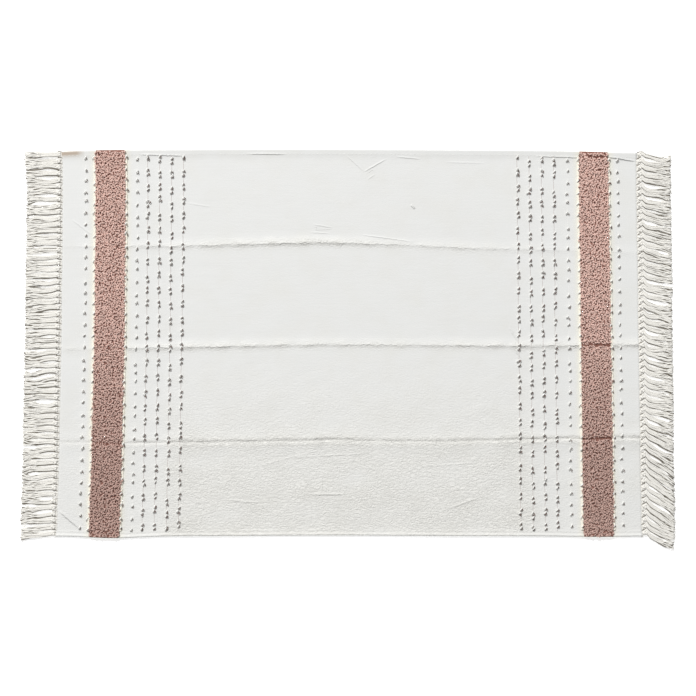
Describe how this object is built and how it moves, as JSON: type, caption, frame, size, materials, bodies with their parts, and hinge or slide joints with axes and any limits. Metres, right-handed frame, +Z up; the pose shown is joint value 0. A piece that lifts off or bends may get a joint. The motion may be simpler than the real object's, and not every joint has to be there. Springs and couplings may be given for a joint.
{
  "type": "bath mat",
  "caption": "Flat-woven cotton bath mat with stitched hems, a band of looped pile and rows of small loops at each end, and knotted tassel fringes.",
  "frame": {"origin": "middle of the mat, on the plane of its underside", "axes": "+Z up, out of the pile side; +X along the length, towards the right fringe; +Y across the width, towards the back hem"},
  "size_m": [1, 0.6, 0.0082],
  "materials": {
    "ground_cotton": "matte",
    "pile_yarn": "matte",
    "loop_yarn": "matte",
    "sewing_thread": "matte",
    "fringe_yarn": "matte"
  },
  "bodies": {
    "mat": {"ground_cloth": "ground_cotton", "front_hem": "ground_cotton", "back_hem": "ground_cotton", "front_hem_stitching": "sewing_thread", "back_hem_stitching": "sewing_thread", "left_pile_band": "pile_yarn", "left_outer_loop_row": "loop_yarn", "left_band_outer_edging": "loop_yarn", "left_band_inner_edging": "loop_yarn", "left_inner_loop_row": "loop_yarn", "left_double_loop_row_1": "loop_yarn", "left_double_loop_row_2": "loop_yarn", "left_double_loop_row_3": "loop_yarn", "left_double_loop_row_4": "loop_yarn", "left_knots_1": "fringe_yarn", "left_knots_2": "fringe_yarn", "left_knots_3": "fringe_yarn", "left_knots_4": "fringe_yarn", "right_pile_band": "pile_yarn", "right_outer_loop_row": "loop_yarn", "right_band_outer_edging": "loop_yarn", "right_band_inner_edging": "loop_yarn", "right_inner_loop_row": "loop_yarn", "right_double_loop_row_1": "loop_yarn", "right_double_loop_row_2": "loop_yarn", "right_double_loop_row_3": "loop_yarn", "right_double_loop_row_4": "loop_yarn", "right_knots_1": "fringe_yarn", "right_knots_2": "fringe_yarn", "right_knots_3": "fringe_yarn", "right_knots_4": "fringe_yarn"},
    "left_fringe": {"left_tassels_1": "fringe_yarn", "left_tassels_2": "fringe_yarn", "left_tassels_3": "fringe_yarn", "left_tassels_4": "fringe_yarn"},
    "right_fringe": {"right_tassels_1": "fringe_yarn", "right_tassels_2": "fringe_yarn", "right_tassels_3": "fringe_yarn", "right_tassels_4": "fringe_yarn"}
  },
  "joints": [
    {"name": "left_fringe_fold", "type": "hinge", "parent": "mat", "child": "left_fringe", "pos_m": [-0.45025, 0, 0.00275], "axis": [0, 1, 0], "range_deg": [0, 160]},
    {"name": "right_fringe_fold", "type": "hinge", "parent": "mat", "child": "right_fringe", "pos_m": [0.45025, 0, 0.00275], "axis": [0, -1, 0], "range_deg": [0, 160]}
  ]
}
